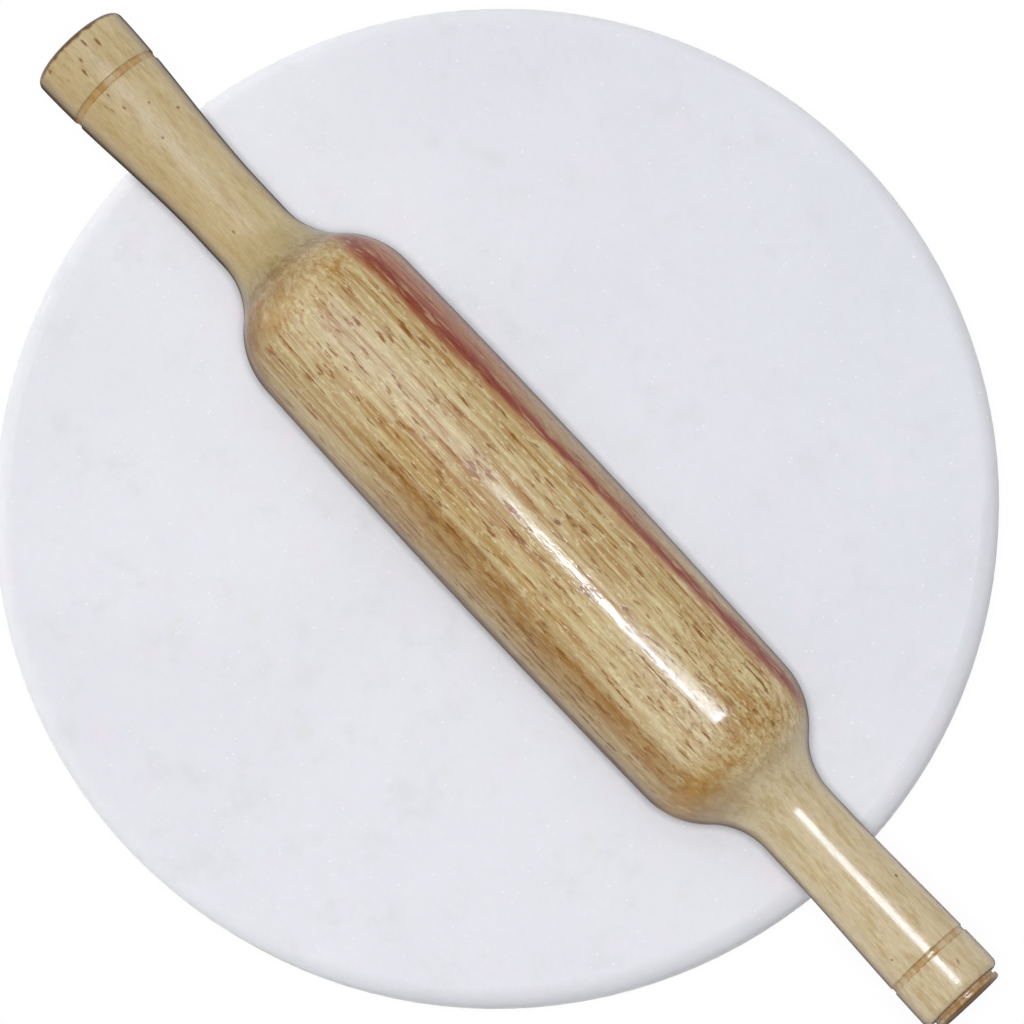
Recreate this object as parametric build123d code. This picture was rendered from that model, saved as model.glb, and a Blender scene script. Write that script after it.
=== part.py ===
from build123d import *
from math import cos, radians, sin
import os

# A marble chakla on three small feet, with its wooden belan lying across it.
# Millimetres, +Z up, the table at Z zero. X runs along the belan, and X zero is the
# middle of the belan's whole length.

# Board: one round slab of marble, its upper edge eased for the hands
board_dia = 230.0
board_thick = 18.0
board_upper_round = 4.0
board_lower_round = 2.0

# Feet: turned marble buns, each with a spigot that is bonded into a seat in the slab
foot_count = 3
foot_first_angle = 0.0
foot_inset = 35.0
foot_height = 11.0
foot_top_dia = 29.0
foot_belly_dia = 32.5
foot_base_dia = 22.0
foot_base_round = 1.0
foot_belly_share = 0.42
spigot_dia = 24.0
seat_depth = 2.0

# Resin: a film of one thickness all round the spigot, and the bead that it squeezes out
resin_film = 0.8
resin_bead = 1.1
resin_bulge_share = 0.8
resin_slack = 0.05

# Pads: rubber discs let into the feet
pad_dia = 16.0
pad_thick = 2.2
pad_sunk = 1.0
pad_round = 0.6
pad_slack = 0.2

# Belan: how it lies on the board
pin_gap = 0.3
pin_ahead = 9.5

# Belan: the barrel swells a little towards its middle
barrel_length = 125.0
barrel_dia = 44.3
barrel_end_dia_left = 43.3
barrel_end_dia_right = 42.9

# Belan: each shoulder is a round and a cove that meet at this slope
shoulder_round = 20.0
shoulder_slope = 47.0

# Belan: the left handle flares and ends in a low dome
neck_dia_left = 19.3
neck_length_left = 9.0
handle_length_left = 59.0
handle_dia_left = 24.5
handle_dome = 1.2

# Belan: the right handle is nearly straight and keeps the stub that the lathe held
neck_dia_right = 19.4
neck_length_right = 6.0
handle_length_right = 51.9
handle_dia_right = 21.3
stub_groove_dia = 16.8
stub_groove_width = 0.8
stub_dia = 18.0
stub_length = 1.3
stub_chamfer = 0.4

# Belan: what both handles have
handle_edge_round = 1.6
band_width = 1.8
band_depth = 0.35
band_inset_left = 12.0
band_inset_right = 9.5
cut_overrun = 1.0

# Levels worked out from the sizes above
pad_proud = pad_thick - pad_sunk
shoulder_z = pad_proud + foot_height
under_z = shoulder_z + resin_film
face_z = under_z + board_thick
pin_z = face_z + pin_gap + barrel_dia / 2


def turned(outline, about):
    """The solid that a closed outline sweeps when it turns once about an axis."""
    return revolve(make_face(outline), about)


def foot_places():
    """Centre of each foot, evenly spaced round a circle that follows the board's edge."""
    reach = board_dia / 2 - foot_inset
    places = PolarLocations(reach, foot_count, start_angle=foot_first_angle)
    return [Location((-pin_ahead, 0)) * place for place in places]


def make_board():
    """The slab: a disc with both edges rounded and a blind seat for each foot."""
    slab = Cylinder(board_dia / 2, board_thick, align=(Align.CENTER, Align.CENTER, Align.MIN))
    slab = fillet(slab.edges().group_by(Axis.Z)[-1], board_upper_round)
    slab = fillet(slab.edges().group_by(Axis.Z)[0], board_lower_round)
    slab = Pos(-pin_ahead, 0, under_z) * slab
    seat = Cylinder(
        spigot_dia / 2 + resin_film, seat_depth, align=(Align.CENTER, Align.CENTER, Align.MIN)
    )
    for place in foot_places():
        slab -= Pos(0, 0, under_z) * place * seat
    return slab


def make_foot():
    """One bun foot about Z, with its shoulder at Z zero and the pad's recess in its base."""
    belly = (foot_belly_dia / 2, -foot_height * foot_belly_share)
    base = (foot_base_dia / 2, -foot_height)
    straight = Polyline(
        base,
        (0, -foot_height),
        (0, seat_depth),
        (spigot_dia / 2, seat_depth),
        (spigot_dia / 2, 0),
        (foot_top_dia / 2, 0),
    )
    bun = turned(straight + ThreePointArc((foot_top_dia / 2, 0), belly, base), Axis.Y)
    bun = Rot(X=90) * bun
    bun = fillet(bun.edges().group_by(Axis.Z)[0], foot_base_round)
    recess = Cylinder(pad_dia / 2 + pad_slack, pad_sunk, align=(Align.CENTER, Align.CENTER, Align.MIN))
    return bun - Pos(0, 0, -foot_height) * recess


def make_resin():
    """One resin bed about Z, with Z zero at the foot's shoulder: a cup and its bead."""
    outer = spigot_dia / 2 + resin_film - resin_slack
    inner = spigot_dia / 2 + resin_slack
    bead = foot_top_dia / 2 + resin_bead
    bulge = (bead, resin_film * (1 - resin_bulge_share))
    straight = Polyline(
        (foot_top_dia / 2, 0),
        (inner, 0),
        (inner, seat_depth),
        (0, seat_depth),
        (0, seat_depth + resin_film),
        (outer, seat_depth + resin_film),
        (outer, resin_film),
        (bead, resin_film),
    )
    edge = ThreePointArc((bead, resin_film), bulge, (foot_top_dia / 2, 0))
    return Rot(X=90) * turned(straight + edge, Axis.Y)


def make_pad():
    """One rubber pad standing on Z zero, its lower edge rounded."""
    pad = Cylinder(pad_dia / 2, pad_thick, align=(Align.CENTER, Align.CENTER, Align.MIN))
    return fillet(pad.edges().group_by(Axis.Z)[0], pad_round)


def cove_radius(barrel_end_dia, neck_dia):
    """Radius of the cove that carries the shoulder's round down to the neck."""
    drop = (barrel_end_dia - neck_dia) / 2
    return drop / (1 - cos(radians(shoulder_slope))) - shoulder_round


def shoulder_length(barrel_end_dia, neck_dia):
    """Length along the belan of one shoulder, round and cove together."""
    both = shoulder_round + cove_radius(barrel_end_dia, neck_dia)
    return both * sin(radians(shoulder_slope))


def shoulder_outline(barrel_end_dia, neck_dia):
    """A convex arc off the barrel and a cove onto the neck, tangent where they meet."""
    start = barrel_length / 2
    cove = cove_radius(barrel_end_dia, neck_dia)
    neck_x = start + shoulder_length(barrel_end_dia, neck_dia)
    convex = CenterArc(
        (start, barrel_end_dia / 2 - shoulder_round), shoulder_round, 90, -shoulder_slope
    )
    concave = CenterArc((neck_x, neck_dia / 2 + cove), cove, 270 - shoulder_slope, shoulder_slope)
    return convex + concave


def handle_outline(neck_x, neck_dia, neck_length, end_x, end_dia):
    """The neck's straight run and the flare that eases out from it to the handle's end."""
    flare_x = neck_x + neck_length
    third = (end_x - flare_x) / 3
    flare = Bezier(
        (flare_x, neck_dia / 2),
        (flare_x + third, neck_dia / 2),
        (end_x - third, end_dia / 2),
        (end_x, end_dia / 2),
    )
    return Line((neck_x, neck_dia / 2), (flare_x, neck_dia / 2)) + flare


def band_cutter(neck_x, neck_dia, neck_length, end_x, end_dia, inset):
    """A ring that scores a shallow flat band round the flare, this far in from its end."""
    flare_x = neck_x + neck_length
    along = 1 - inset / (end_x - flare_x)
    ease = along * along * (3 - 2 * along)
    surface = neck_dia / 2 + (end_dia - neck_dia) / 2 * ease
    ring = Cylinder(surface + cut_overrun, band_width) - Cylinder(surface - band_depth, band_width)
    return Pos(end_x - inset, 0, 0) * Rot(Y=90) * ring


def dome_outline(end_x, end_dia):
    """The left handle's end: a rounded edge and a low dome."""
    flat = end_dia / 2 - handle_edge_round
    edge = CenterArc((end_x, flat), handle_edge_round, 90, -90)
    face_x = end_x + handle_edge_round
    dome_radius = (flat * flat + handle_dome * handle_dome) / (2 * handle_dome)
    dome = RadiusArc((face_x, flat), (face_x + handle_dome, 0), dome_radius)
    return edge + dome


def stub_outline(end_x, end_dia):
    """The right handle's end: a rounded edge, the parting groove and the stub past it."""
    flat = end_dia / 2 - handle_edge_round
    face_x = end_x + handle_edge_round
    stub_x = face_x + stub_groove_width
    edge = CenterArc((end_x, flat), handle_edge_round, 90, -90)
    steps = Polyline(
        (face_x, flat),
        (face_x, stub_groove_dia / 2),
        (stub_x, stub_groove_dia / 2),
        (stub_x, stub_dia / 2),
        (stub_x + stub_length - stub_chamfer, stub_dia / 2),
        (stub_x + stub_length, stub_dia / 2 - stub_chamfer),
        (stub_x + stub_length, 0),
    )
    return edge + steps


def make_pin():
    """The belan, turned about X from one outline, with a band scored round each handle."""
    half = barrel_length / 2
    left_neck_x = half + shoulder_length(barrel_end_dia_left, neck_dia_left)
    right_neck_x = half + shoulder_length(barrel_end_dia_right, neck_dia_right)
    left_end_x = left_neck_x + handle_length_left
    right_end_x = right_neck_x + handle_length_right

    barrel = ThreePointArc(
        (-half, barrel_end_dia_left / 2), (0, barrel_dia / 2), (half, barrel_end_dia_right / 2)
    )
    left_flare = (left_neck_x, neck_dia_left, neck_length_left, left_end_x, handle_dia_left)
    right_flare = (right_neck_x, neck_dia_right, neck_length_right, right_end_x, handle_dia_right)
    left = shoulder_outline(barrel_end_dia_left, neck_dia_left)
    left += handle_outline(*left_flare)
    left += dome_outline(left_end_x, handle_dia_left)
    right = shoulder_outline(barrel_end_dia_right, neck_dia_right)
    right += handle_outline(*right_flare)
    right += stub_outline(right_end_x, handle_dia_right)

    left_tip = left_end_x + handle_edge_round + handle_dome
    right_tip = right_end_x + handle_edge_round + stub_groove_width + stub_length
    axis_line = Line((-left_tip, 0), (right_tip, 0))
    pin = turned(barrel + right + mirror(left, about=Plane.YZ) + axis_line, Axis.X)
    pin -= band_cutter(*right_flare, band_inset_right)
    pin -= mirror(band_cutter(*left_flare, band_inset_left), about=Plane.YZ)
    return Pos((left_tip - right_tip) / 2, 0, pin_z) * pin


def make_parts():
    """Every piece in its place, by name."""
    parts = {"board": make_board(), "rolling_pin": make_pin()}
    for number, place in enumerate(foot_places(), start=1):
        parts[f"foot_{number}"] = place * Pos(0, 0, shoulder_z) * make_foot()
        parts[f"resin_bed_{number}"] = place * Pos(0, 0, shoulder_z) * make_resin()
        parts[f"rubber_pad_{number}"] = place * make_pad()
    return parts


os.makedirs("parts", exist_ok=True)
for name, part in make_parts().items():
    export_step(part, f"parts/{name}.step")
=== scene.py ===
# %% [markdown]
# # A marble chakla and its wooden belan
#
# A chakla is the round board on which flat breads are rolled out, and a belan is the
# rolling pin that goes with it. This one is a slab of white marble on three low bun feet,
# with a varnished, hand-turned belan lying across it. The solids come from CAD. What is
# left for Blender is the look: polished stone, turned wood under varnish, and the light.
#
# The lesson runs from the outside in. First the picture (camera, table, lamps), then
# the small tools for writing materials, then the stone, the wood and the little parts
# underneath. Everything is in metres, +Z is up and the table is at Z zero.

from math import cos, pi, radians, sin
from types import SimpleNamespace

import bpy
import numpy as np
from mathutils import Matrix, Vector


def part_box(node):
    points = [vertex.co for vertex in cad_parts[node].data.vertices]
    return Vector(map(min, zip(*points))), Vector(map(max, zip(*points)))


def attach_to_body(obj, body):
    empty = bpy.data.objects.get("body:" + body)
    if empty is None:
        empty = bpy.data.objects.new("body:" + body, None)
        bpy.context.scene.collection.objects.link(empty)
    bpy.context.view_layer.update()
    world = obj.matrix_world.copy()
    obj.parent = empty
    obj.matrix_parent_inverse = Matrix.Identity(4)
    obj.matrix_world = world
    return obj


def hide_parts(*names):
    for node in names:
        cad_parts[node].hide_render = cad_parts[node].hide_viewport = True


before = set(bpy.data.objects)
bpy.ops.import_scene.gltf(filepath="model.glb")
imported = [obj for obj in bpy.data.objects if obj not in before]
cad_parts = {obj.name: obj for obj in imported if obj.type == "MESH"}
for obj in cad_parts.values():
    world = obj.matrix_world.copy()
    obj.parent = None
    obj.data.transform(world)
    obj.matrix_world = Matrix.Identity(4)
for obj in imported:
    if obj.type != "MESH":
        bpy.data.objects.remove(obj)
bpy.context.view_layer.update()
print("pieces from CAD:", sorted(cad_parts))

# %% [markdown]
# ## The camera
#
# The picture is taken from almost straight above, with a long lens from arm's length
# over the table, and turned so that the belan runs from the upper left corner to the
# lower right. The camera leans about nine degrees, which lets the near edge of the
# slab show as a thin band. Three facts fix such a camera: where it stands, what it
# looks at, and which way is up in the picture.

# %% Camera
camera_at = Vector((0.200, -0.060, 1.400))
camera_aim = Vector((-0.0044, 0.0012, 0.031))
picture_up = Vector((-0.7363, 0.6766, 0.0))


def facing(at, aim, up):
    """Placement of a camera or lamp: it looks along its own minus Z, and its own Y is
    the part of `up` that is square to the line of sight."""
    back = (at - aim).normalized()
    right = up.cross(back).normalized()
    turned = Matrix((right, back.cross(right), back)).transposed()
    return Matrix.Translation(at) @ turned.to_4x4()


camera_data = bpy.data.cameras.new("camera")
camera_data.sensor_width = 36.0
camera_data.lens = 213.9
camera_data.clip_start = 0.05
camera_data.clip_end = 30.0
camera = bpy.data.objects.new("camera", camera_data)
camera.matrix_world = facing(camera_at, camera_aim, picture_up)
bpy.context.scene.collection.objects.link(camera)
bpy.context.scene.camera = camera
print("camera stands", round((camera_at - camera_aim).length, 3), "m from the board")

# %% [markdown]
# ## Writing materials as sums
#
# A procedural material is a long formula. Wired by hand it is a tangle of nodes, but
# written as Python it reads like the formula itself. `Wire` wraps the output of a node,
# and plus, minus, times and divide on it each add the Math node that does the work.
# Every other node comes from `node`, which sets what kind of node it is first and
# then fills its sockets with numbers or with other wires.

# %% Wire, the one helper class
class Wire:
    """The output of a node, ready for arithmetic."""

    def __init__(self, tree, socket):
        self.tree = tree
        self.socket = socket

    def node(self, kind, sockets=None, out=0, **settings):
        """Any node: its settings first, then a value or a wire for each socket."""
        made = self.tree.nodes.new(kind)
        for name, value in settings.items():
            setattr(made, name, value)
        for key, value in (sockets or {}).items():
            if isinstance(value, Wire):
                self.tree.links.new(value.socket, made.inputs[key])
            else:
                made.inputs[key].default_value = value
        return Wire(self.tree, made.outputs[out])

    def other(self, out):
        """Another output of the same node."""
        return Wire(self.tree, self.socket.node.outputs[out])

    def maths(self, operation, *values):
        """A Math node on these values."""
        return self.node("ShaderNodeMath", dict(enumerate(values)), operation=operation)

    def __add__(self, other):
        return self.maths("ADD", self, other)

    def __sub__(self, other):
        return self.maths("SUBTRACT", self, other)

    def __mul__(self, other):
        return self.maths("MULTIPLY", self, other)

    def __truediv__(self, other):
        return self.maths("DIVIDE", self, other)

    def __radd__(self, other):
        return self.maths("ADD", other, self)

    def __rsub__(self, other):
        return self.maths("SUBTRACT", other, self)

    def __rmul__(self, other):
        return self.maths("MULTIPLY", other, self)

    def __abs__(self):
        return self.maths("ABSOLUTE", self)

    def root(self):
        """Square root."""
        return self.maths("SQRT", self)

    def wave(self):
        """Sine of an angle in radians."""
        return self.maths("SINE", self)

    def least(self, other):
        """The smaller of two numbers."""
        return self.maths("MINIMUM", self, other)

    def rise(self, low, high):
        """0 below `low`, 1 above `high` and an eased climb between them."""
        sockets = {"Value": self, "From Min": low, "From Max": high}
        return self.node("ShaderNodeMapRange", sockets, interpolation_type="SMOOTHSTEP")

    def fall(self, low, high):
        """1 below `low`, 0 above `high`."""
        return 1.0 - self.rise(low, high)

    def scaled(self, *factors):
        """A vector with each of its three numbers multiplied."""
        sockets = {0: self, 1: factors}
        return self.node("ShaderNodeVectorMath", sockets, operation="MULTIPLY")

    def moved(self, *offset):
        """A vector with an offset added."""
        return self.node("ShaderNodeVectorMath", {0: self, 1: offset}, operation="ADD")

    def clouds(self, detail=2.0, rough=0.5):
        """Soft noise, mostly between 0.3 and 0.7, at this vector."""
        sockets = {"Vector": self, "Scale": 1.0, "Detail": detail, "Roughness": rough}
        return self.node("ShaderNodeTexNoise", sockets)

    def grains(self, loose=1.0):
        """Distance to the nearest of many scattered points. `.other(1)` gives the same
        node's random colour, one for each point."""
        sockets = {"Vector": self, "Scale": 1.0, "Randomness": loose}
        return self.node("ShaderNodeTexVoronoi", sockets, feature="F1")

    def parts(self):
        """The three numbers of a vector or a colour, each on its own wire."""
        split = self.node("ShaderNodeSeparateXYZ", {0: self})
        return split, split.other(1), split.other(2)

    def toward(self, colour, share):
        """This colour mixed with another one by a share from 0 to 1."""
        return self.node("ShaderNodeMix", {0: share, 6: self, 7: colour}, 2, data_type="RGBA")

    def dimmed(self, share):
        """This colour made darker: multiplied by one number."""
        return self.node("ShaderNodeVectorMath", {0: self, "Scale": share}, operation="SCALE")


def paint(red, green, blue):
    """A colour from the numbers 0 to 255 that a screen shows, made linear for Blender."""
    shown = np.array([red, green, blue]) / 255.0
    linear = np.where(shown <= 0.04045, shown / 12.92, ((shown + 0.055) / 1.055) ** 2.4)
    return (*[float(value) for value in linear], 1.0)


def new_material(name):
    """An empty material, its shader, and the place on the object in millimetres."""
    material = bpy.data.materials.new(name)
    material.use_nodes = True
    tree = material.node_tree
    tree.nodes.clear()
    surface = tree.nodes.new("ShaderNodeBsdfPrincipled")
    end = tree.nodes.new("ShaderNodeOutputMaterial")
    tree.links.new(surface.outputs[0], end.inputs["Surface"])
    coordinates = tree.nodes.new("ShaderNodeTexCoord")
    place = Wire(tree, coordinates.outputs["Object"]).scaled(1000.0, 1000.0, 1000.0)
    return material, surface, place


def between(share, first, second):
    """A colour on the way from one paint to another."""
    return share.node("ShaderNodeMix", {0: share, 6: first, 7: second}, 2, data_type="RGBA")


def attach(surface, **wires):
    """Joins wires to the shader's sockets; Base_Color stands for Base Color."""
    for name, value in wires.items():
        value.tree.links.new(value.socket, surface.inputs[name.replace("_", " ")])


def raised(height, depth):
    """A bump: `height` runs from 0 to 1 and stands for this depth in metres."""
    return height.node("ShaderNodeBump", {"Distance": depth, "Height": height})


print("straw in linear light:", [round(value, 3) for value in paint(193, 171, 129)[:3]])

# %% [markdown]
# ## The table and the room
#
# The table is a pale matt sheet. It must look white in the picture and still take a
# faint shadow, so most of what the camera sees of it is its own even white, and the
# rest is lit like any other surface. The same goes for the room behind it. What lights
# the object and is mirrored in it is dimmer than what the camera sees, so the varnish
# keeps its depth and the lamps needn't be raised.

# %% Who is looking
def backdrop_share(tree):
    """1 for what the camera sees directly, 0 for mirror images and for the light on things."""
    return Wire(tree, tree.nodes.new("ShaderNodeLightPath").outputs["Is Camera Ray"])


# %% The table
table_look, table_surface, table_place = new_material("pale_table")
table_surface.inputs["Roughness"].default_value = 0.9
table_surface.inputs["Specular IOR Level"].default_value = 0.2
table_paper = table_place.scaled(0.02, 0.02, 0.02).clouds(3.0, 0.6)
attach(table_surface, Base_Color=between(table_paper, paint(247, 247, 247), paint(250, 250, 250)))

table_tree = table_look.node_tree
table_white = table_place.node("ShaderNodeEmission", {"Color": (1, 1, 1, 1), "Strength": 1.0})
table_lit = Wire(table_tree, table_surface.outputs[0])
table_share = backdrop_share(table_tree) * 0.94
table_both = table_place.node("ShaderNodeMixShader", {0: table_share, 1: table_lit, 2: table_white})
table_end = next(n for n in table_tree.nodes if n.bl_idname == "ShaderNodeOutputMaterial")
table_tree.links.new(table_both.socket, table_end.inputs["Surface"])

sheet_half = 3.0
sheet_corners = np.array([[-1, -1], [1, -1], [1, 1], [-1, 1]]) * sheet_half
sheet_mesh = bpy.data.meshes.new("table")
sheet_mesh.from_pydata([(x, y, -0.0002) for x, y in sheet_corners], [], [(0, 1, 2, 3)])
sheet_mesh.materials.append(table_look)
sheet = bpy.data.objects.new("table", sheet_mesh)
bpy.context.scene.collection.objects.link(sheet)
print("table:", 2 * sheet_half, "m square")

# %% The room
scene = bpy.context.scene
scene.view_settings.view_transform = "Standard"
world = bpy.data.worlds.new("room")
scene.world = world
world.use_nodes = True
room = world.node_tree
room.nodes.clear()
room_share = backdrop_share(room)
fill = room_share.node("ShaderNodeBackground", {0: (0.92, 0.96, 1.0, 1.0), 1: 0.09})
white = room_share.node("ShaderNodeBackground", {0: (1.0, 1.0, 1.0, 1.0), 1: 1.0})
either = room_share.node("ShaderNodeMixShader", {0: room_share, 1: fill, 2: white})
room.links.new(either.socket, room.nodes.new("ShaderNodeOutputWorld").inputs["Surface"])

# %% [markdown]
# ## The lamps
#
# A product picture is lit so that colours come out as they are: together the lamps and
# the room give about one unit of light on a surface that faces up. The largest share
# comes from beside the camera, so shadows fall behind things, where they hardly show. A
# photographer puts a polarising sheet over such a lamp, which takes its mirror image off
# the varnish. Here the lamp is simply hidden from glossy rays. Two low windows, screened
# the same way, lift the left and far edges of the slab, and the room fills in the rest,
# a little cooler.
#
# The gloss is lit apart from that. A softbox overhead and a long lilac one beside it lay
# a soft veil over the barrel, and three small ones draw the white streak, its fading
# tail and the streak on the right handle. They show in the varnish only, because their
# light on the stone would throw a second shadow.

# %% Lamps
def softbox(name, size, at, level, tint=(1.0, 1.0, 1.0), in_gloss=True, on_matt=True):
    """A rectangular lamp that faces the board with a given brightness of face: its power is
    pi times its area times that brightness. Its first side lies along X."""
    lamp = bpy.data.lights.new(name, "AREA")
    lamp.shape = "RECTANGLE"
    lamp.size = size[0]
    lamp.size_y = size[1]
    lamp.energy = pi * size[0] * size[1] * level
    lamp.color = tint
    held = bpy.data.objects.new(name, lamp)
    board_top = Vector((0.0, 0.0, 0.031))
    back = (Vector(at) - board_top).normalized()
    held.matrix_world = facing(Vector(at), board_top, back.cross(Vector((1.0, 0.0, 0.0))))
    held.visible_camera = False
    held.visible_glossy = in_gloss
    held.visible_diffuse = on_matt
    scene.collection.objects.link(held)
    return held


daylight = (0.76, 0.86, 1.0)
lilac = (0.74, 0.66, 1.0)
late_sun = (1.0, 0.99, 0.96)
softbox("overhead", (0.9, 1.0), (0.15, 0.05, 1.03), 0.36)
softbox("front", (0.2, 0.2), (0.2, -0.06, 1.5), 147.0, in_gloss=False)
softbox("window", (0.9, 0.3), (-0.95, -0.8, 0.16), 9.0, late_sun, in_gloss=False)
softbox("far window", (0.9, 0.3), (-0.85, 0.8, 0.16), 6.0, in_gloss=False)
softbox("barrel streak", (0.08, 0.02), (-0.065, 0.068, 1.03), 340.0, daylight, on_matt=False)
softbox("fading streak", (0.05, 0.03), (-0.130, 0.080, 1.03), 22.0, daylight, on_matt=False)
softbox("handle streak", (0.08, 0.26), (0.05, 0.21, 1.03), 46.0, daylight, on_matt=False)
softbox("veil", (0.14, 1.3), (-0.225, 0.10, 1.03), 1.8, lilac, on_matt=False)

# %% [markdown]
# ## The marble
#
# The slab and its feet are cut from white marble of the even, sugary kind: packed
# crystals under a millimetre across, each catching the light a little differently, soft
# grey and faintly pink or green clouds, and now and then a dark mineral fleck. The whole
# slab is painted a touch greyer towards its far right side: painted shade. A few crystals
# get a painted glint. Polish leaves it glossy but not like glass. The pattern runs
# through the block, so it is worked out in three dimensions from the place itself and
# shows on rim and underside alike.

# %% Marble
def make_marble(name, shift, polish):
    """White marble. Colour = base paint, greyed to one side by painted shade and by slow clouds,
    tinted by two other clouds, then varied crystal by crystal, with painted glints and flecks on
    top."""
    material, surface, place = new_material(name)
    place = place.moved(*shift)
    wide = place.scaled(0.021, 0.021, 0.021).clouds(3.0, 0.55)
    middle = place.scaled(0.11, 0.11, 0.11).clouds(4.0, 0.62)
    colour = between(wide.rise(0.38, 0.64), paint(222, 223, 228), paint(225, 226, 231))
    x, y = place.parts()[:2]
    # Painted shade: the slab is painted greyer towards its far right side, as if the light fell
    # from the left.
    painted_shade_right = (x * 0.67 + y * 0.73).rise(-90.0, 110.0)
    colour = colour.toward(paint(212, 213, 219), painted_shade_right * 0.5)
    colour = colour.toward(paint(208, 210, 212), middle.rise(0.52, 0.74) * 0.36)
    pink = place.moved(37.0, 5.0, 0.0).scaled(0.1, 0.1, 0.1).clouds(3.0, 0.6)
    green = place.moved(-19.0, 61.0, 9.0).scaled(0.08, 0.08, 0.08).clouds(4.0, 0.65)
    colour = colour.toward(paint(227, 218, 227), pink.rise(0.54, 0.72) * 0.42)
    colour = colour.toward(paint(214, 217, 207), green.rise(0.62, 0.76) * 0.36)

    crystal = place.scaled(1.25, 1.25, 1.25).grains()
    shade, gloss, chance = crystal.other(1).parts()
    fine = place.scaled(0.42, 0.42, 0.42).clouds(3.0, 0.6)
    colour = colour.dimmed(0.975 + shade * 0.016 + fine * 0.034)
    body = crystal.fall(0.2, 0.5)
    # Painted glints: a few crystals are painted brighter, as if they caught the light.
    painted_glint = chance.rise(0.984, 0.998) * body
    colour = colour.toward(paint(244, 245, 249), painted_glint * 0.8)
    fleck_cell = place.scaled(0.105, 0.105, 0.105).grains()
    fleck_kind, fleck_size, fleck_chance = fleck_cell.other(1).parts()
    fleck = (fleck_cell - fleck_size * 0.03).fall(0.012, 0.06) * fleck_chance.rise(0.5, 0.6)
    colour = colour.toward(paint(176, 176, 170), fleck * 0.5)

    attach(surface, Base_Color=colour)
    attach(surface, Roughness=polish + gloss * 0.05 + middle * 0.05 + fleck * 0.1)
    height = middle * 0.6 + gloss * body * 0.25 - fleck
    attach(surface, Normal=raised(height, 0.000012))
    surface.inputs["IOR"].default_value = 1.5
    surface.inputs["Specular IOR Level"].default_value = 0.4
    surface.inputs["Subsurface Weight"].default_value = 0.35
    surface.inputs["Subsurface Radius"].default_value = (1.0, 0.95, 0.9)
    surface.inputs["Subsurface Scale"].default_value = 0.004
    return material


slab_marble = make_marble("slab_marble", (0.0, 0.0, 0.0), 0.46)
foot_marble = make_marble("foot_marble", (310.0, 120.0, 40.0), 0.5)
print("marble nodes:", len(slab_marble.node_tree.nodes))

# %% [markdown]
# ## Resin and rubber
#
# Underneath, each foot is set in a bed of stone adhesive, an amber-grey resin that
# squeezes out as a small bead and holds dust and tiny bubbles. Below that a rubber disc
# keeps the stone from skating on the table. Nobody sees either in the picture, but the
# part is turned over in other views, so they get their own finish.

# %% Resin and rubber
def make_resin():
    """Cured adhesive: amber-grey, cloudy, with bubbles just under a glossy skin."""
    material, surface, place = new_material("stone_adhesive")
    cloud = place.scaled(0.3, 0.3, 0.3).clouds(4.0, 0.6)
    bubble_cell = place.scaled(0.9, 0.9, 0.9).grains()
    bubble_chance = bubble_cell.other(1).parts()[0]
    bubble = bubble_cell.fall(0.12, 0.3) * bubble_chance.rise(0.55, 0.7)
    colour = between(cloud.rise(0.35, 0.65), paint(171, 160, 132), paint(196, 187, 160))
    colour = colour.toward(paint(222, 215, 194), bubble * 0.6)
    attach(surface, Base_Color=colour, Roughness=0.3 + cloud * 0.3)
    attach(surface, Normal=raised(cloud + bubble * 0.5, 0.00008))
    return material


def make_rubber():
    """Moulded rubber: near black, finely pebbled, with pale dust rubbed into its lower edge."""
    material, surface, place = new_material("foot_rubber")
    pebble_cell = place.scaled(2.6, 2.6, 2.6).grains()
    pebble = pebble_cell.fall(0.1, 0.7)
    cloud = place.scaled(0.25, 0.25, 0.25).clouds(4.0, 0.6)
    height = place.parts()[2]
    dust = height.fall(0.2, 1.1) * cloud.rise(0.42, 0.66)
    colour = between(pebble, paint(36, 36, 38), paint(52, 52, 54))
    colour = colour.toward(paint(120, 116, 110), dust * 0.45)
    attach(surface, Base_Color=colour, Roughness=0.66 + dust * 0.2 - pebble * 0.08)
    attach(surface, Normal=raised(pebble, 0.00006))
    return material


stone_adhesive = make_resin()
foot_rubber = make_rubber()
print("adhesive and rubber made")

# %% [markdown]
# ## The belan's outline
#
# A belan is turned between centres from one billet. Its outline is a swelling barrel, a
# round shoulder that runs into a cove at each end, a slim neck and a handle that flares
# again. A flat band is scored round each handle, and the right one is the narrower. The
# left end is rubbed to a low dome, and on the right the stub by which the lathe held the
# wood is still there, behind a parting groove.
#
# The CAD solid has the same outline. Here it is worked out again as arrays of points, so
# that the rows can lie close together where the outline bends, the corners can be
# eased as sanding and varnish ease them, and each point knows how far it lies across the
# grain, which the wood's colour needs. Sizes are in millimetres from the barrel's middle.

# %% Sizes of the outline
barrel_half = 62.5
barrel_radius = 22.15
shoulder_round = 20.0
shoulder_slope = radians(47.0)
edge_round = 1.6
band_depth = 0.3
left_end = dict(
    shoulder=21.65, neck=9.65, neck_run=9.0, handle=59.0, end=12.25, band_in=12.0, band_half=0.9
)
right_end = dict(
    shoulder=21.45, neck=9.70, neck_run=6.0, handle=51.9, end=10.65, band_in=9.5, band_half=0.65
)
groove_radius = 8.4
groove_width = 0.8
stub_radius = 9.0
stub_chamfer = 0.4
stub_reach = 2.1
corner_ease = 0.09
print("barrel:", 2 * barrel_half, "mm long and", 2 * barrel_radius, "mm thick")


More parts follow.
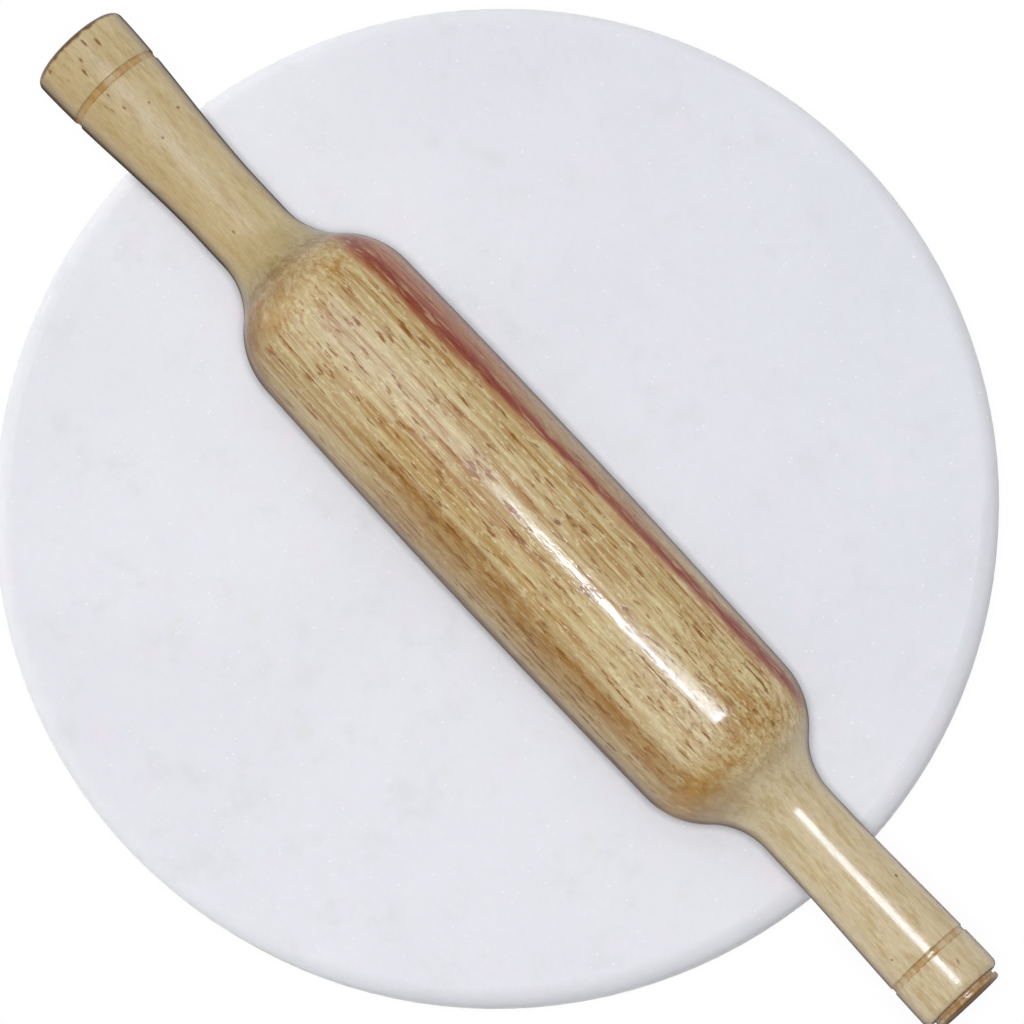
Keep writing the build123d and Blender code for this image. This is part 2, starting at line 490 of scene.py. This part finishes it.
# %% Shoulder
def shoulder_rows(part, steps=19):
    """Round: x = start + R sin a, r = shoulder - R (1 - cos a). Cove, with a running back
    to zero: x = neck start - C sin a, r = neck + C (1 - cos a)."""
    cove = (part["shoulder"] - part["neck"]) / (1 - cos(shoulder_slope)) - shoulder_round
    neck_x = barrel_half + (shoulder_round + cove) * sin(shoulder_slope)
    turn = np.linspace(0.0, shoulder_slope, steps)
    round_x = barrel_half + shoulder_round * np.sin(turn)
    round_r = part["shoulder"] - shoulder_round * (1 - np.cos(turn))
    back = turn[-2::-1]
    cove_x = neck_x - cove * np.sin(back)
    cove_r = part["neck"] + cove * (1 - np.cos(back))
    rows = np.stack([np.append(round_x, cove_x), np.append(round_r, cove_r)], axis=1)
    return rows, neck_x


print("necks begin at", [round(shoulder_rows(part)[1], 2) for part in (left_end, right_end)])

# %% Handle
def handle_rows(part, neck_x, step=0.68):
    """Flare: r = neck + (end - neck)(3 t^2 - 2 t^3), t going from 0 to 1 after the neck's
    straight run, less the depth of the scored band, whose two walls are eased likewise."""
    flare_x = neck_x + part["neck_run"]
    end_x = neck_x + part["handle"]
    band_x = end_x - part["band_in"]
    even = np.arange(neck_x + step, end_x - step / 2, step)
    even = even[np.abs(even - band_x) > 1.6]
    half = part["band_half"] + np.array([-0.5, -0.25, -0.15, -0.05, 0.05, 0.15, 0.25, 0.5])
    walls = band_x + np.append(-half[::-1], half)
    x = np.sort(np.concatenate([even, walls, [end_x]]))
    t = np.clip((x - flare_x) / (end_x - flare_x), 0.0, 1.0)
    r = part["neck"] + (part["end"] - part["neck"]) * (3 * t**2 - 2 * t**3)
    wall = np.clip((part["band_half"] + 0.25 - np.abs(x - band_x)) / 0.5, 0.0, 1.0)
    r -= band_depth * wall**2 * (3 - 2 * wall)
    return np.stack([x, r], axis=1), end_x


def edge_rows(part, end_x, steps=8):
    """Quarter circle from the handle's side to its end face."""
    turn = np.linspace(0.0, pi / 2, steps)[1:]
    x = end_x + edge_round * np.sin(turn)
    r = part["end"] - edge_round + edge_round * np.cos(turn)
    return np.stack([x, r], axis=1)


# %% The two tips
def dome_rows(part, end_x, rise=1.2, steps=11):
    """Low dome: x = face + rise (1 - s^2) and r = flat s, s running from the edge to 0."""
    s = np.linspace(1.0, 0.0, steps)[1:]
    x = end_x + edge_round + rise * (1 - s**2)
    return np.stack([x, (part["end"] - edge_round) * s], axis=1)


def eased_corners(corners, ease, steps=4):
    """Each inner corner of a polyline becomes the curve (1-t)^2 a + 2t(1-t) corner + t^2 b,
    where a and b lie `ease` before and after it."""
    before = corners[:-2] - corners[1:-1]
    after = corners[2:] - corners[1:-1]
    a = corners[1:-1] + ease * before / np.linalg.norm(before, axis=1, keepdims=True)
    b = corners[1:-1] + ease * after / np.linalg.norm(after, axis=1, keepdims=True)
    t = np.linspace(0.0, 1.0, steps)[None, :, None]
    curve = (1 - t) ** 2 * a[:, None] + 2 * t * (1 - t) * corners[1:-1, None] + t**2 * b[:, None]
    return curve.reshape(-1, 2)


def stub_rows(part, end_x):
    """End face, parting groove and stub, with every corner slightly eased."""
    face_x = end_x + edge_round
    stub_face = stub_radius - stub_chamfer
    steps = [
        (face_x, part["end"] - edge_round),
        (face_x, groove_radius),
        (face_x + groove_width, groove_radius),
        (face_x + groove_width, stub_radius),
        (face_x + stub_reach - stub_chamfer, stub_radius),
        (face_x + stub_reach, stub_face),
        (face_x + stub_reach, 0.0),
    ]
    side = eased_corners(np.array(steps), corner_ease)
    s = np.linspace(0.95, 0.0, 8)
    face = np.stack([np.full_like(s, face_x + stub_reach), (stub_face - 0.1) * s], axis=1)
    return np.concatenate([side, face])


print("the stub reaches", stub_reach, "mm past the end face")

# %% The whole outline
def belan_outline():
    """Left tip to right tip. The barrel is r = radius + b x + c x^2 through its two ends."""
    left, left_neck = shoulder_rows(left_end)
    right, right_neck = shoulder_rows(right_end)
    left_handle, left_x = handle_rows(left_end, left_neck)
    right_handle, right_x = handle_rows(right_end, right_neck)
    left = [left, left_handle, edge_rows(left_end, left_x), dome_rows(left_end, left_x)]
    right = [right, right_handle, edge_rows(right_end, right_x), stub_rows(right_end, right_x)]
    left = np.concatenate(left)[::-1] * [-1.0, 1.0]
    x = np.linspace(-barrel_half, barrel_half, 53)[1:-1]
    slope = (right_end["shoulder"] - left_end["shoulder"]) / (2 * barrel_half)
    sag = (right_end["shoulder"] + left_end["shoulder"]) / 2 - barrel_radius
    barrel = np.stack([x, barrel_radius + slope * x + sag * (x / barrel_half) ** 2], axis=1)
    return np.concatenate([left, barrel, *right])


outline = belan_outline()
print("outline:", len(outline), "rows over", round(float(np.ptp(outline[:, 0])), 1), "mm")

# %% [markdown]
# ## Turning the outline
#
# Spinning an outline about its axis gives a grid: one row of points for each point of the
# outline and one column for each angle. A hand-turned piece is never quite round, so
# each row wanders inwards by a few hundredths of a millimetre. The first and last
# points lie on the axis, and each closes its end as the hub of a fan of triangles.
#
# Two numbers travel with every point. `across` says how squarely the surface cuts the
# grain: 0 along the barrel, 1 on the end faces. `marks` is a small map of pin knots and
# short stains, each a soft ellipse at its own distance along the belan and angle round it.

# %% Pin knots and stains
# Place along the belan and angle from the top towards +Y, then half length, half width
# (all in millimetres but the angle, in degrees) and strength.
knot_table = np.array([
    (-144.1, 6.0, 1.4, 0.40, 0.9), (-142.2, 18.0, 1.6, 0.45, 1.0),
    (-141.6, -9.0, 1.0, 0.40, 0.8), (-139.0, -15.0, 1.5, 0.45, 0.9),
    (-143.5, -26.0, 0.7, 0.60, 0.6), (-140.6, -35.0, 0.7, 0.65, 0.6),
    (-145.2, -45.0, 0.8, 0.60, 0.9), (-131.5, -13.5, 1.0, 0.35, 0.7),
    (-127.0, -9.9, 0.8, 0.45, 0.8), (-130.2, -25.0, 1.6, 0.30, 0.6),
    (-127.9, -22.0, 1.4, 0.30, 0.7), (-124.1, -4.6, 0.5, 0.50, 0.5),
    (-124.0, 15.3, 0.5, 0.50, 0.9), (-119.3, 40.5, 0.5, 0.50, 1.0),
    (-116.0, -1.6, 0.7, 0.55, 0.8), (-89.2, -18.2, 0.6, 0.50, 0.8),
    (-58.6, -5.5, 0.8, 0.60, 0.9), (-53.9, -3.9, 1.0, 0.50, 0.8),
    (-2.9, -48.7, 1.2, 0.60, 0.6), (3.5, -47.8, 0.9, 0.70, 0.8),
    (10.5, 13.1, 0.8, 0.65, 1.0), (25.2, -34.1, 1.8, 0.80, 0.8),
    (47.6, 18.3, 2.2, 0.60, 0.8), (49.4, -18.0, 1.0, 0.70, 0.8),
    (60.5, 11.0, 3.0, 1.00, 0.62), (65.5, 16.0, 3.4, 1.30, 0.66),
    (70.8, 23.9, 1.2, 0.70, 0.8), (75.1, 30.4, 1.0, 0.70, 0.8),
    (117.4, 44.7, 0.5, 0.45, 1.0), (130.4, -38.0, 0.5, 0.40, 1.0),
    (139.0, -30.0, 1.6, 0.90, 0.4), (140.5, 22.0, 1.8, 0.70, 0.5),
])


def mark_map(x, angle, radius):
    """Sum over the table of strength times e to the minus (dx / half length)^2 plus
    (arc / half width)^2, where arc is the distance round the surface."""
    at, turn, long, wide, strong = (column[:, None, None] for column in knot_table.T)
    arc = (angle - np.radians(turn) + pi) % (2 * pi) - pi
    soft = np.exp(-(((x - at) / long) ** 2) - (arc * radius / wide) ** 2)
    return np.clip((strong * soft).sum(axis=0), 0.0, 1.0)


print("knots and stains:", len(knot_table))

# %% The belan's surface
columns = 264
pin_low, pin_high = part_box("rolling_pin")
pin_height = (pin_low.z + pin_high.z) / 2
pin_middle = 1000 * pin_low.x - outline[0, 0]
angle = np.arange(columns) * (2 * pi / columns)


def turned_rows(rows):
    """Along and radius of each point of the grid, without the tips: r is drawn in by
    0.012 mm plus up to 0.05 mm of hand-made wandering, a sum of two slow sines."""
    x = (rows[1:-1, 0] + pin_middle)[:, None]
    r = rows[1:-1, 1][:, None]
    wander = 0.5 + 0.25 * np.sin(2 * angle + 0.021 * x) + 0.25 * np.sin(3 * angle - 0.05 * x + 1.0)
    return x, r - 0.012 - 0.05 * wander * np.clip(r / 10.0, 0.0, 1.0)


def turned_points(rows):
    """x stays, y = r sin a, z = r cos a, with the angle a measured from the top towards +Y.
    The two hubs come last."""
    x, radius = turned_rows(rows)
    grid = np.stack([x + 0 * angle, radius * np.sin(angle), radius * np.cos(angle)], axis=2)
    hubs = np.array([[rows[0, 0] + pin_middle, 0, 0], [rows[-1, 0] + pin_middle, 0, 0]])
    points = np.concatenate([grid.reshape(-1, 3), hubs]) / 1000.0
    points[:, 2] += pin_height
    return points


print("belan's axis:", round(1000 * pin_height, 2), "mm above the table")

# %% Faces
def grid_of(count):
    """Row and column of each four-sided face of the grid."""
    return np.meshgrid(np.arange(count - 1), np.arange(columns), indexing="ij")


def turned_faces(count):
    """Four corners a face between neighbouring rows, and a fan at each end."""
    row, column = grid_of(count)
    after = (column + 1) % columns
    quads = np.stack([row, row + 1, row + 1, row], axis=2) * columns
    quads += np.stack([column, column, after, after], axis=2)
    ring = np.arange(columns)
    next_ring = (ring + 1) % columns
    last = (count - 1) * columns
    hub = count * columns
    left_fan = np.stack([np.full(columns, hub), ring, next_ring], axis=1)
    right_fan = np.stack([np.full(columns, hub + 1), last + next_ring, last + ring], axis=1)
    return [*quads.reshape(-1, 4).tolist(), *left_fan.tolist(), *right_fan.tolist()]


def unrolled(rows):
    """UV of each face corner: u is the angle as a share of a full turn, and v the distance
    along the outline as a share of its whole length."""
    row, column = grid_of(len(rows) - 2)
    along = np.append(0.0, np.cumsum(np.linalg.norm(np.diff(rows, axis=0), axis=1)))
    along = (along / along[-1])[1:-1]
    quad_u = (np.stack([column, column, column + 1, column + 1], axis=2) / columns).ravel()
    quad_v = np.stack([along[row], along[row + 1], along[row + 1], along[row]], axis=2).ravel()
    step = np.arange(columns) / columns
    left_u = np.stack([step + 0.5 / columns, step, step + 1 / columns], axis=1).ravel()
    right_u = np.stack([step + 0.5 / columns, step + 1 / columns, step], axis=1).ravel()
    left_v = np.tile([0.0, along[0], along[0]], columns)
    right_v = np.tile([1.0, along[-1], along[-1]], columns)
    u = np.concatenate([quad_u, left_u, right_u])
    v = np.concatenate([quad_v, left_v, right_v])
    return np.stack([u, v], axis=1)


# %% Turn the belan
def across_grain(rows):
    """|dr| / length of each step of the outline, which is 0 along the grain and 1 across."""
    run = np.gradient(rows, axis=0)
    across = np.abs(run[:, 1]) / np.linalg.norm(run, axis=1)
    return np.append(np.repeat(across[1:-1], columns), [1.0, 1.0])


def keep_attribute(mesh, name, values):
    """One number for each point of a mesh, under this name."""
    layer = mesh.attributes.new(name, "FLOAT", "POINT")
    layer.data.foreach_set("value", values.astype(np.float32))


def turn_belan(name, rows):
    """The belan as one closed, smooth mesh with its two attributes and its UV map."""
    faces = turned_faces(len(rows) - 2)
    mesh = bpy.data.meshes.new(name)
    mesh.from_pydata(turned_points(rows).tolist(), [], faces)
    mesh.polygons.foreach_set("use_smooth", np.ones(len(faces), bool))
    x, radius = turned_rows(rows)
    keep_attribute(mesh, "across", across_grain(rows))
    keep_attribute(mesh, "marks", np.append(mark_map(x, angle, radius).ravel(), [0.0, 0.0]))
    layer = mesh.uv_layers.new(name="turned")
    layer.data.foreach_set("uv", unrolled(rows).astype(np.float32).ravel())
    mesh.validate()
    made = bpy.data.objects.new(name, mesh)
    scene.collection.objects.link(made)
    return made


belan = turn_belan("turned_belan", outline)
print("belan:", len(belan.data.vertices), "points,", len(belan.data.polygons), "faces")

# %% [markdown]
# ## The wood
#
# The billet is a pale, straw-coloured hardwood with its grain running along the belan.
# Growth layers show as uneven golden stripes, because the tree's centre lay well off to
# one side. Open pores are fine tubes along the grain: on the barrel they are cut
# lengthways into dark dashes, and where the shoulder cuts across them they turn into
# dots. One sheet of red heartwood runs down the far side. The handles, sanded through
# many layers, are paler and smoother. The low sides, which the lamps hardly reach, are
# duller, and painted shade makes them browner.
#
# All of it is worked out from the place inside the billet, as in a real tree, so the
# same pore is a dash on the barrel and a dot on the shoulder with no extra work. First
# come the soft noises that this tree is made of, then the regions of the belan, and
# then one short function for each thing that a turner would point out. Each takes the
# colour so far and lays its own paints over it, by shares that run from 0 to 1.

# %% The tree
centre_aside = 74.0
centre_below = 30.0


def tree_at(place):
    """The billet at a place in it: noises stretched along the grain, each about a half.
    The stripes follow r = distance from the tree's centre, warped by a slow noise."""
    x, y, z = place.parts()
    tree = SimpleNamespace()
    tree.warp = place.scaled(0.010, 0.06, 0.06).clouds(2.0, 0.5) - 0.5
    aside = y + centre_aside
    below = z + centre_below
    layer = (aside * aside + below * below).root() + tree.warp * 4.0
    layer_place = layer.node("ShaderNodeCombineXYZ", {0: x * 0.007, 1: layer * 0.5, 2: 0.37})
    tree.stripes = layer_place.clouds(3.0, 0.6)
    tree.group = place.scaled(0.014, 0.2, 0.2).clouds(2.0, 0.5)
    tree.strand = place.scaled(0.035, 0.95, 0.95).clouds(3.0, 0.6)
    tree.hair = place.scaled(0.07, 1.9, 1.9).clouds(3.0, 0.6)
    tree.fibre = place.moved(3.0, 30.0, 17.0).scaled(0.5, 3.6, 3.6).clouds(2.0, 0.6)
    tree.broken = place.moved(50.0, 9.0, 3.0).scaled(0.12, 0.9, 0.9).clouds(2.0, 0.6)
    tree.dash = place.moved(20.0, 4.0, 8.0).scaled(0.17, 0.85, 0.85).clouds(3.0, 0.6)
    tree.blot = place.moved(11.0, 3.0, 31.0).scaled(0.11, 0.5, 0.5).clouds(4.0, 0.65)
    tree.speck = place.moved(2.0, 14.0, 5.0).scaled(0.5, 1.25, 1.25).clouds(2.0, 0.6)
    tree.mottle = place.scaled(0.22, 0.5, 0.5).clouds(3.0, 0.6)
    tree.patches = tree.mottle.rise(0.4, 0.6)
    tree.ragged = place.scaled(0.05, 0.35, 0.35).clouds(3.0, 0.6) - 0.5
    tree.ripple = place.moved(7.0, 7.0, 7.0).scaled(0.3, 0.9, 0.9).clouds(3.0, 0.6)
    return tree


# %% Regions of the belan
def belan_at(place):
    """Where a place lies on the belan. x, y, z and off_axis are in millimetres from the
    belan's middle and axis, and the rest are shares: up is 1 on top and -1 underneath."""
    at = SimpleNamespace()
    at.x, at.y, at.z = place.parts()
    at.off_axis = (at.y * at.y + at.z * at.z).root()
    at.up = at.z / at.off_axis
    at.handle = abs(at.x).rise(74.0, 84.0)
    at.barrel = 1.0 - at.handle
    at.right = at.x.rise(-20.0, 20.0)
    at.left = 1.0 - at.right
    at.leftward = at.x.fall(-40.0, 0.0)
    at.across = place.node("ShaderNodeAttribute", out="Fac", attribute_name="across")
    at.lengthways = at.across.fall(0.12, 0.5)
    at.end_grain = at.across.rise(0.6, 0.95)
    at.side_grain = 1.0 - at.end_grain
    return at


# %% Pores, heartwood and knots: where they are
def cut_pores(at, tree):
    """Hairlines run in groups and break off, dashes are shorter and darker, and both end
    where the surface cuts across the grain."""
    hair = tree.hair.rise(0.52, 0.64) * tree.broken.rise(0.4, 0.54) * at.lengthways
    at.hair = hair * (0.25 + tree.group.rise(0.42, 0.58) * 0.75)
    at.dash = tree.dash.rise(0.54, 0.64) * tree.broken.rise(0.42, 0.56) * at.lengthways


def place_heartwood(at, tree):
    """A ragged sheet y = 17.05 + 0.027 x. `heart` is how far a place lies outside it, and
    `red` is the share of red, which falls off past the sheet's half thickness."""
    at.heart = at.y - 17.05 - at.x * 0.027 + tree.ragged * 2.0
    half = 1.25 + at.leftward * 0.9 + at.x.fall(-72.0, -56.0) * 0.7 + at.x.rise(45.0, 62.0) * 0.4
    at.red = (abs(at.heart) / half).fall(0.1, 1.7) * (0.5 + tree.broken.rise(0.34, 0.5) * 0.5)


def place_knots(place, at, tree):
    """The map of knots and stains, its soft ellipses frayed by the specks."""
    marks = place.node("ShaderNodeAttribute", out="Fac", attribute_name="marks")
    at.marks = (marks + (tree.speck - 0.5) * 0.8).rise(0.3, 0.75)


# %% Ground colour
def ground(at, tree):
    """Straw with golden stripes, pale and brown strands, browner on the near side, and a
    painted highlight: a creamier band along the top of the barrel's outer parts and each shoulder."""
    colour = between(tree.stripes.rise(0.38, 0.62), paint(191, 171, 128), paint(177, 151, 103))
    colour = colour.toward(paint(208, 194, 154), tree.strand.rise(0.49, 0.6) * 0.65)
    colour = colour.toward(paint(152, 104, 48), tree.strand.fall(0.38, 0.46) * at.barrel * 0.64)
    near_side = at.y.fall(-17.0, -6.0) * at.x.rise(-60.0, 0.0)
    colour = colour.toward(paint(166, 132, 78), near_side * tree.group.rise(0.36, 0.6) * 0.5)
    # Painted highlight: a creamy band along the top, where the varnish catches the lamps.
    painted_highlight = abs(at.y + 5.0).fall(2.0, 13.0) * abs(at.x).rise(25.0, 55.0)
    painted_highlight = painted_highlight * abs(at.x).fall(68.0, 77.0)
    return colour.toward(paint(216, 204, 178), painted_highlight * (0.18 + tree.patches * 0.22))


def pale_handles(colour, at, tree):
    """Handles: one even, paler paint over most of the grain, with soft darker blots, and painted
    shade on the near side of the left handle.
    """
    handle_paint = between(at.right, paint(192, 174, 138), paint(200, 184, 154))
    colour = colour.toward(handle_paint, at.handle * 0.8)
    colour = colour.toward(paint(170, 146, 96), at.handle * tree.blot.rise(0.46, 0.66) * 0.55)
    # Painted shade: the near side of the left handle is painted darker.
    return colour.toward(paint(160, 134, 86), at.y.fall(-9.0, -1.0) * at.handle * at.left * 0.45)


# %% Pores
def open_pores(colour, at, tree):
    """Pale specks, hairlines and dashes, and a field of dots by the right shoulder. The
    finest fibres then make the whole colour a little lighter or darker."""
    speck = tree.speck.rise(0.575, 0.68)
    colour = colour.toward(paint(218, 206, 168), speck * (0.08 + at.barrel * 0.5))
    colour = colour.toward(paint(148, 96, 38), at.hair * (0.2 + at.barrel * 0.5))
    colour = colour.toward(paint(126, 70, 18), at.dash * (0.04 + at.barrel * 0.76))
    dot = tree.speck.fall(0.35, 0.42) * at.x.rise(34.0, 54.0) * at.y.rise(-12.0, 0.0) * at.barrel
    colour = colour.toward(paint(116, 72, 30), dot * 0.55)
    return colour.dimmed(0.7 + tree.fibre * 0.54)


# %% The near flank
def near_flank(colour, at, tree):
    """A brown side with one darker stripe about y = -14.4 that holds the worst stains."""
    side = at.y.fall(-20.0, -8.0) * at.x.rise(-50.0, -10.0) * at.barrel
    stripe = abs(at.y + 14.4 + tree.warp * 3.0).fall(0.8, 3.8) * at.x.rise(-56.0, -14.0) * at.barrel
    colour = colour.toward(paint(122, 88, 48), side * 0.42)
    colour = colour.toward(paint(142, 98, 48), stripe * (0.2 + tree.patches * 0.45))
    colour = colour.toward(paint(98, 56, 24), stripe * tree.blot.rise(0.54, 0.64) * 0.55)
    return colour.toward(paint(92, 52, 20), side * (at.hair * 0.35 + at.dash * 0.4))


# %% Heartwood
def heartwood(colour, at, tree):
    """Outside the red sheet the flank is rosy with dark veins, fading underneath and to the
    right. Inside it lies an orange fringe, and the sheet itself comes last."""
    beyond = at.heart.rise(0.2, 1.6)
    fade = at.up.rise(-0.5, 0.2) * (0.6 + tree.strand.rise(0.4, 0.6) * 0.4)
    fade = fade * (0.3 + at.x.fall(15.0, 45.0) * 0.7)
    flank = between(at.leftward, paint(140, 98, 78), paint(148, 72, 54))
    colour = colour.toward(flank, beyond * at.barrel * fade * (0.5 + at.leftward * 0.35))
    veins = tree.hair.rise(0.5, 0.62) * tree.broken.rise(0.36, 0.54) * at.lengthways
    vein_share = beyond * at.barrel * fade * veins * (0.3 + at.leftward * 0.3)
    colour = colour.toward(paint(118, 48, 26), vein_share)
    fringe = abs(at.heart + 1.7).fall(0.4, 2.2) * tree.mottle.rise(0.34, 0.54)
    colour = colour.toward(paint(170, 116, 66), fringe * at.barrel * 0.5)
    return colour.toward(paint(124, 34, 16), at.red * at.barrel * 0.95)


# %% Low sides and end grain
def painted_low_shade(colour, at, tree):
    """Painted shade: low on its round sides the wood is painted browner, and darkest just past
    the outline that one sees from above, most of all by the left shoulder."""
    # Painted shade: browner low on the round sides.
    low = at.up.fall(0.1, 0.5) * at.side_grain
    colour = colour.toward(paint(134, 102, 62), low * (0.2 + tree.patches * 0.3))
    # Painted shade: a dark band just past the outline seen from above.
    reach = 0.38 + at.handle * 0.12 + at.x.fall(-74.0, -60.0) * 0.15
    edge = at.up.fall(0.06, reach) * (0.5 + at.up.rise(-0.5, -0.1) * 0.5) * at.side_grain
    colour = colour.toward(paint(104, 66, 32), edge * 0.5)
    return colour.dimmed(1.0 - edge * (0.6 + at.x.fall(-74.0, -60.0) * 0.25))


def end_grain(colour, at, tree):
    """Cut pores, and the fine rings sin(4.2 r) that the turning tool leaves."""
    at.end_pore = tree.hair.rise(0.5, 0.6) + tree.dash.rise(0.56, 0.62)
    at.rings = (at.off_axis * 4.2).wave() * 0.5 + 0.5
    stripes = tree.stripes.rise(0.4, 0.6)
    colour = colour.toward(paint(158, 120, 72), at.end_grain * (0.3 + stripes * 0.35))
    colour = colour.toward(paint(96, 62, 30), at.end_grain * at.end_pore.rise(0.1, 0.9) * 0.55)
    return colour.dimmed(1.0 - at.end_grain * at.rings * 0.1)


# %% Shoulders
def shoulders(colour, at, tree):
    """Where the shoulders cut across the fibres they drink more varnish and turn golden, with
    blots. Painted shade makes the coves greyer, the steep left shoulder darker and the near
    side of the barrel's left part and shoulder browner."""
    turned_away = (abs(at.x) - at.right * 3.0).fall(71.0, 77.0)
    golden = (1.0 - at.red * at.leftward * 0.9) * at.across.rise(0.1, 0.45) * turned_away
    golden = golden * (0.35 + at.y.fall(-14.0, 2.0) * 0.65)
    cove = abs(at.x).rise(73.0, 78.0) * abs(at.x).fall(80.0, 88.0)
    golden_share = golden * (0.45 + tree.mottle.rise(0.36, 0.6) * 0.4)
    colour = colour.toward(paint(170, 130, 66), golden_share)
    # Painted shade: the coves are painted greyer, the right one browner on its near side.
    colour = colour.toward(paint(150, 134, 96), cove * at.left * 0.5)
    colour = colour.toward(paint(144, 108, 58), cove * at.right * at.y.fall(-10.0, 0.0) * 0.45)
    # Painted shade: the steep left shoulder is painted darker.
    steep = at.across.rise(0.3, 0.68) * at.left * at.barrel.rise(0.0, 0.3) * at.side_grain
    colour = colour.dimmed(1.0 - steep * (0.2 + at.y.fall(-8.0, 8.0) * 0.14))
    colour = colour.toward(paint(142, 94, 40), golden * tree.blot.rise(0.5, 0.64) * 0.65)
    colour = colour.toward(paint(214, 200, 160), golden * tree.blot.fall(0.36, 0.42) * 0.35)
    # Painted shade: the near side of the belan's left part is painted a deep brown.
    left_shade = at.y.fall(-19.0, -8.0) * at.x.fall(-62.0, -20.0) * at.barrel
    return colour.toward(paint(106, 68, 22), left_shade * (0.35 + at.across.rise(0.1, 0.5) * 0.35))


def painted_crease_shade(colour, at, tree):
    """Two lines of painted shade: a soft dark one where the left shoulder's round meets its
    cove, and a brown rim low on the near side of both."""
    # Painted shade: a dark line in the crease between round and cove.
    crease = abs(at.x + 74.8).fall(0.4, 2.2) * (0.5 + tree.patches * 0.5)
    colour = colour.toward(paint(112, 86, 52), crease * 0.5)
    # Painted shade: a dark rim just inside the outline seen from above.
    rim = at.up.fall(0.14, 0.56) * at.x.fall(-62.0, -56.0) * at.x.rise(-86.0, -80.0)
    return colour.toward(paint(70, 42, 18), rim * at.y.fall(-11.0, -3.0) * 0.62)


# %% Bands, ends and knots
def band_place(part):
    """How far the scored band lies from the barrel's middle."""
    return shoulder_rows(part)[1] + part["handle"] - part["band_in"]


band_left = pin_middle - band_place(left_end)
band_right = pin_middle + band_place(right_end)
print("bands at", round(band_left, 2), "and", round(band_right, 2), "mm")


def scored_bands(colour, at, tree):
    """A browner ring where each band is scored, with darker walls."""
    to_band = abs(at.x - band_left).least(abs(at.x - band_right))
    band = to_band.fall(0.8, 1.1)
    wall = band * to_band.rise(0.35, 0.8)
    near = at.y.fall(-6.0, 10.0) * at.left
    band_share = band * (0.2 + near * 0.3 + tree.blot.rise(0.4, 0.6) * 0.4)
    colour = colour.toward(paint(158, 118, 60), band_share)
    return colour.toward(paint(126, 88, 42), wall * tree.broken.rise(0.42, 0.62) * 0.45)


def tips_and_knots(colour, at, tree):
    """A dark ragged line round the left end, a brown groove and stub on the right, and the
    knots and stains."""
    end_line = (at.x + (tree.mottle - 0.5) * 1.4).fall(-146.5, -145.7)
    colour = colour.toward(paint(84, 54, 30), end_line * 0.9)
    stub = at.x.rise(146.0, 146.5)
    colour = colour.toward(paint(150, 112, 66), stub * (0.5 + tree.patches * 0.4))
    colour = colour.toward(paint(100, 64, 32), at.x.rise(147.8, 148.2) * 0.8)
    return colour.toward(paint(110, 66, 24), at.marks * 0.8)


# %% [markdown]
# ## The varnish
#
# Varnish lies over everything: low roughness, which makes the lamps' mirror images
# crisp, on a surface that is not quite flat. It ripples more on the left half, where the
# streak breaks up, the pores are left a little open, and it is dull on the end grain, on
# the left handle and low on the sides, most of all by the left shoulder.

# %% Varnish
varnish_relief = 0.00016


def varnish_roughness(at, tree):
    """0.115 where it is clean, more over pores and mottled wood, and the dull regions."""
    pores = (at.hair * 0.4 + at.dash * 0.8) * (0.2 + at.barrel * 0.8)
    handles = at.x.fall(-110.0, -70.0) * 0.2 + at.x.rise(80.0, 95.0) * 0.07
    dull = handles + at.across.rise(0.85, 1.0) * 0.6
    dull = dull + at.up.fall(0.1, 0.4) * (0.4 + at.x.fall(-74.0, -60.0) * 0.45)
    return 0.115 + pores * 0.05 + tree.mottle * 0.06 + dull


def varnish_height(at, tree):
    """Ripples, pebbled specks and fibres, less the open pores and the sunken knots, with
    the tool's rings on the end grain."""
    pores = (at.hair * 0.4 + at.dash * 0.8) * (0.2 + at.barrel * 0.8)
    ripple = tree.ripple * (0.12 + at.barrel * (0.14 + at.x.fall(-20.0, 30.0) * 1.1))
    pebbled = tree.speck * at.x.fall(-40.0, 40.0) * at.barrel
    height = ripple * 0.55 + pebbled * 0.3 + tree.hair * 0.06
    height = height - pores * (0.08 + at.x.fall(0.0, 50.0) * 0.14) - at.marks * 0.2
    return height + at.end_grain * (at.rings * 0.35 - at.end_pore * 0.15)


# %% Wood
wood_layers = [
    pale_handles,
    open_pores,
    near_flank,
    heartwood,
    painted_low_shade,
    end_grain,
    shoulders,
    painted_crease_shade,
    scored_bands,
    tips_and_knots,
]


def make_wood():
    """Turned wood under varnish: the ground colour with every layer laid over it in turn."""
    material, surface, place = new_material("turned_wood")
    place = place.moved(0.0, 0.0, -1000.0 * pin_height)
    at = belan_at(place)
    tree = tree_at(place)
    cut_pores(at, tree)
    place_heartwood(at, tree)
    place_knots(place, at, tree)
    colour = ground(at, tree)
    for layer in wood_layers:
        colour = layer(colour, at, tree)
    attach(surface, Base_Color=colour, Roughness=varnish_roughness(at, tree))
    attach(surface, Normal=raised(varnish_height(at, tree), varnish_relief))
    surface.inputs["IOR"].default_value = 1.5
    surface.inputs["Specular IOR Level"].default_value = 0.42
    return material


turned_wood = make_wood()
belan.data.materials.append(turned_wood)
print("wood:", len(turned_wood.node_tree.nodes), "nodes in", len(wood_layers), "layers")

# %% [markdown]
# ## Dressing the parts
#
# The CAD pieces already have the right shape, so each only gets its finish. The belan
# is the one that was built again: it stands for its CAD solid and rides with it.

# %% Finishes
def finish_for(name):
    """The material of a CAD piece, by its name."""
    if name.startswith("board"):
        return slab_marble
    if name.startswith("foot"):
        return foot_marble
    if name.startswith("resin"):
        return stone_adhesive
    if name.startswith("rubber"):
        return foot_rubber
    return turned_wood


for name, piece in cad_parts.items():
    piece.material_slots[0].material = finish_for(name)

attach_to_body(belan, "belan")
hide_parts("rolling_pin")
print("finishes:", sorted({finish_for(name).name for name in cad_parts}))
